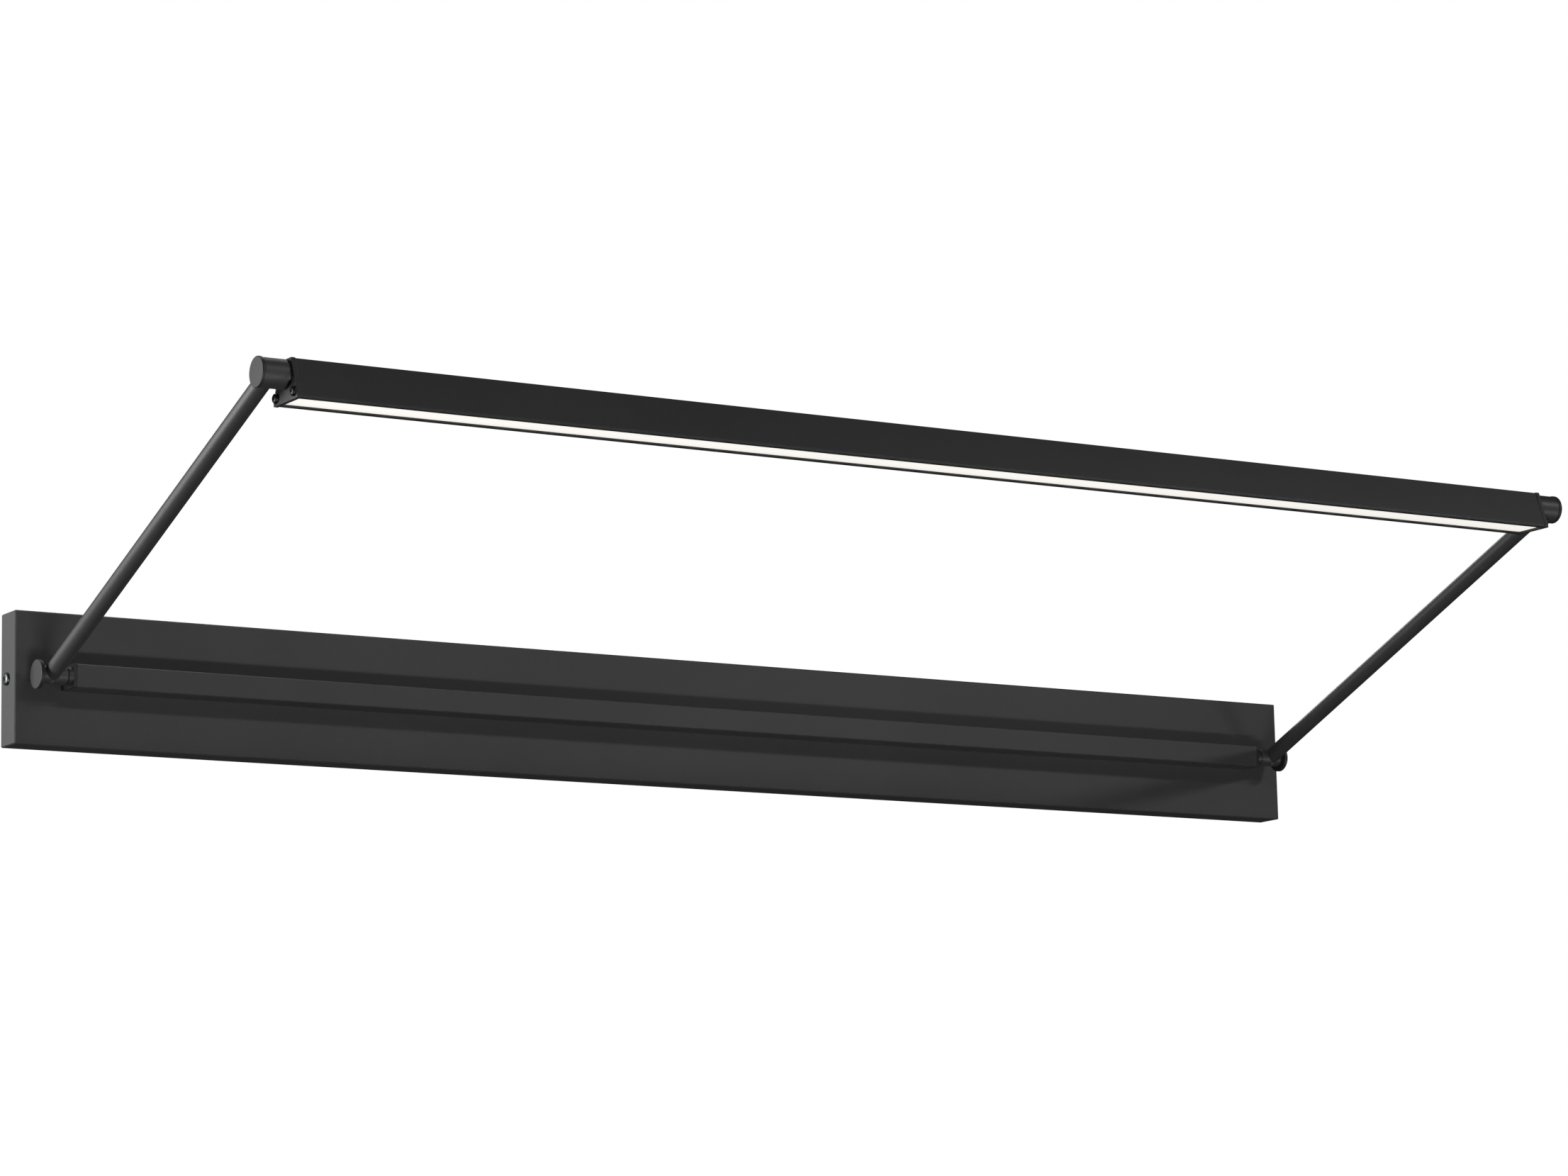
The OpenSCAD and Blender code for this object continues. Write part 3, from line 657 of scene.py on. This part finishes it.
lower_low, lower_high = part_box("lower_knuckle_right")
lower_radius = pivot.z - lower_low.z
upper_low, upper_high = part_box("upper_knuckle_right")
upper_radius = upper_high.z - tilt.z
tube_low, tube_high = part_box("arm_tube_right")
tube_radius = (tube_high.x - tube_low.x) / 2
tube_x = (tube_high.x + tube_low.x) / 2
insert_radius = tube_radius - TUBE_WALL - RUNNING
plug_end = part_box("rail_plug_right")[1].x
bush_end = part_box("pivot_bushes")[1].x
cap_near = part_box("knuckle_cap_right")[0].x
disc_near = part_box("pivot_disc_right")[0].x
head_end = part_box("end_cap_right")[1].x
pocket_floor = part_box("trunnion_nuts")[1].x - NUT_REACH


def on_pivot(profile):
    """A right-hand solid turned on the arms' lower axis."""
    return turned(profile, (0, pivot.y, pivot.z), (1, 0, 0))


def on_tilt(profile):
    """A right-hand solid turned on the head's axis."""
    return turned(profile, (0, tilt.y, tilt.z), (1, 0, 0))


def arm_rod(start, end, radius, aside=0):
    """A rod along the right arm, between two distances from its lower axis."""
    return turned(rod(radius, start, end), (tube_x + aside, pivot.y, pivot.z), along_arm, 64)


def set_screw_rod(near, far, radius, segments=48):
    """A rod on the right set screw's axis, between two distances from the arm's lower axis."""
    down_front = (0, -math.cos(SET_SCREW_ANGLE), -math.sin(SET_SCREW_ANGLE))
    return turned(rod(radius, near, far), (tube_x, pivot.y, pivot.z), down_front, segments)


def make_ring(side, name, node, material, body, on_axis, shaft, near, edge):
    """A bush or a washer round a shaft."""
    low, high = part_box(node)
    ring = on_axis(barrel((high.z - low.z) / 2, shaft + RUNNING, near, high.x, edge))
    piece = shown(mirrored(ring, side), f"{name}_{side}", material, body, node)
    soften(piece, HAIRLINE, 1)


def make_disc(side, name, node, body, on_axis, near_edge):
    """A disc that closes the outer end of a pivot."""
    low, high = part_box(f"{node}_right")
    disc = on_axis(plate_disc((high.z - low.z) / 2, low.x, high.x, near_edge, 0.7 * MM))
    piece = shown(mirrored(disc, side), f"{name}_{side}", coat_head, body, f"{node}_{side}")
    soften(piece, HAIRLINE, 1)


def make_spindle(side):
    """A hollow spindle that carries an arm, with a window for the lead."""
    low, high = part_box("pivot_spindle_right")
    bore_end = disc_near + 1 * MM
    spindle = on_pivot([(SPINDLE_BORE, low.x), (SPINDLE_RADIUS, low.x), (SPINDLE_RADIUS, high.x),
                        (0, high.x), (0, bore_end), (SPINDLE_BORE, bore_end)])
    piece = shown(mirrored(spindle, side), f"spindle_{side}", bright_steel,
                  "wall_unit", f"pivot_spindle_{side}")
    window = block((tube_x, pivot.y - WINDOW_FORWARD, pivot.z), SPINDLE_WINDOW)
    combine(piece, mirrored(window, side), "DIFFERENCE")
    soften(piece, 0.15 * MM, 2)


def make_lower_knuckle(side):
    """The barrel round the spindle, with an insert in the tube and holes for lead and set screw."""
    lower = on_pivot(barrel(lower_radius, SPINDLE_RADIUS + RUNNING, lower_low.x, lower_high.x, 0.7 * MM))
    piece = shown(mirrored(lower, side), f"knuckle_lower_{side}", coat,
                  f"arm_{side}", f"lower_knuckle_{side}")
    insert = arm_rod(SPINDLE_RADIUS + 1 * MM, lower_radius + SPIGOT, insert_radius)
    combine(piece, mirrored(insert, side), "UNION")
    lead_hole = arm_rod(0, lower_radius + SPIGOT + LAP, LEAD_HOLE)
    combine(piece, mirrored(lead_hole, side), "DIFFERENCE")
    screw_hole = set_screw_rod(SPINDLE_RADIUS - LAP, lower_radius + LAP, SET_SCREW_RADIUS + RUNNING)
    combine(piece, mirrored(screw_hole, side), "DIFFERENCE")
    soften(piece, 0.2 * MM, 2)


def make_set_screw(side):
    """The headless screw with a hexagon socket that holds the arm on its spindle."""
    top = lower_radius - 0.1 * MM
    pin = set_screw_rod(SPINDLE_RADIUS + 0.4 * MM, top, SET_SCREW_RADIUS)
    piece = shown(mirrored(pin, side), f"grub_screw_{side}", bright_steel,
                  f"arm_{side}", f"set_screw_{side}")
    socket_radius, socket_depth = SET_SCREW_SOCKET
    socket = set_screw_rod(top - socket_depth, lower_radius + LAP, socket_radius, 6)
    combine(piece, mirrored(socket, side), "DIFFERENCE")
    soften(piece, 0.15 * MM, 2)


def make_arm_tube(side):
    """A round tube whose ends are cut to the round of the knuckles' barrels."""
    bm = bmesh.new()
    inner_radius = tube_radius - TUBE_WALL
    lower_end, upper_end = (lower_radius, 0, 1), (upper_radius, arm_length, -1)
    rings = []
    for radius, (barrel_radius, base, sense) in ((tube_radius, lower_end), (tube_radius, upper_end),
                                                 (inner_radius, upper_end), (inner_radius, lower_end)):
        ring = []
        for i in range(TUBE_SEGMENTS):
            angle = 2 * math.pi * i / TUBE_SEGMENTS
            aside, height = radius * math.cos(angle), radius * math.sin(angle)
            reach = base + sense * (math.sqrt(barrel_radius ** 2 - height ** 2) + TUBE_GAP)
            middle = Vector((tube_x + aside, pivot.y, pivot.z))
            ring.append(bm.verts.new(middle + across_arm * height + along_arm * reach))
        rings.append(ring)
    bridge(bm, rings)
    piece = shown(mirrored(bm, side), f"tube_{side}", coat, f"arm_{side}", f"arm_tube_{side}")
    soften(piece, 0.12 * MM, 2)


def make_upper_knuckle(side):
    """The barrel round the trunnion, with a pocket for its nut and an insert in the tube."""
    upper = on_tilt(barrel(upper_radius, TRUNNION_RADIUS + RUNNING, upper_low.x, cap_near, 0.6 * MM,
                           (NUT_POCKET, pocket_floor)))
    piece = shown(mirrored(upper, side), f"knuckle_upper_{side}", coat,
                  f"arm_{side}", f"upper_knuckle_{side}")
    insert_end = arm_length - upper_radius - SPIGOT
    insert = arm_rod(insert_end, arm_length - NUT_POCKET - 0.5 * MM, insert_radius)
    combine(piece, mirrored(insert, side), "UNION")
    lead_way = arm_rod(insert_end - LAP, arm_length, LEAD_WAY, LEAD_ASIDE)
    combine(piece, mirrored(lead_way, side), "DIFFERENCE")
    soften(piece, 0.2 * MM, 2)


for side in SIDES:
    make_spindle(side)
    make_disc(side, "disc", "pivot_disc", "wall_unit", on_pivot, 0.35 * MM)
    make_ring(side, "bush", "pivot_bushes", black_acetal, "wall_unit",
              on_pivot, SPINDLE_RADIUS, plug_end, 0.3 * MM)
    make_ring(side, "washer", "pivot_washers", black_acetal, "wall_unit",
              on_pivot, SPINDLE_RADIUS, bush_end, 0.15 * MM)
    make_lower_knuckle(side)
    make_set_screw(side)
    make_arm_tube(side)
    make_upper_knuckle(side)
    make_disc(side, "cap", "knuckle_cap", f"arm_{side}", on_tilt, 0.3 * MM)


# ---- Head ----

END_SCREW = (1.2 * MM, 12 * MM)  # radius and length of its shank


def make_end_screws(side, sign):
    """The two screws through an end cap into the head's screw ports."""
    low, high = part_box("end_cap_screws")
    head_radius = (high.z - low.z) / 2
    port_y = (high.y - low.y) / 2 - head_radius
    port_z = (high.z + low.z) / 2
    for place, y in (("front", -port_y), ("back", port_y)):
        screw(f"end_screw_{side}_{place}", "end_cap_screws", (sign * head_end, tilt.y + y, port_z),
              (sign, 0, 0), (head_radius, high.x - head_end), END_SCREW, black_oxide)


def make_trunnion(side):
    """A hollow pivot bolt, flanged inside the head, with a window for the lead."""
    low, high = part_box("trunnion_right")
    flange_radius = (high.z - low.z) / 2
    flange_end, bore_end = low.x + TRUNNION_FLANGE, high.x - TRUNNION_END
    bolt = on_tilt([(TRUNNION_BORE, low.x), (flange_radius, low.x), (flange_radius, flange_end),
                    (TRUNNION_RADIUS, flange_end), (TRUNNION_RADIUS, high.x), (0, high.x),
                    (0, bore_end), (TRUNNION_BORE, bore_end)])
    piece = shown(mirrored(bolt, side), f"trunnion_bolt_{side}", bright_steel, "head", f"trunnion_{side}")
    middle = Vector((tube_x + LEAD_ASIDE, tilt.y, tilt.z)) - along_arm * TRUNNION_WINDOW_DOWN
    combine(piece, mirrored(block(middle, TRUNNION_WINDOW, -arm_rise), side), "DIFFERENCE")
    soften(piece, 0.15 * MM, 2)


refined("head_channel", "head_extrusion", coat_head, 0.45 * MM)
refined("diffuser", "opal_strip", lit_opal, 0.15 * MM, 2)
for side, sign in SIDES.items():
    refined(f"end_cap_{side}", f"head_end_{side}", coat_head, 0.4 * MM)
    make_end_screws(side, sign)
    make_ring(side, "tilt_washer", "tilt_washers", bright_steel, "head",
              on_tilt, TRUNNION_RADIUS, head_end, 0.15 * MM)
    make_trunnion(side)
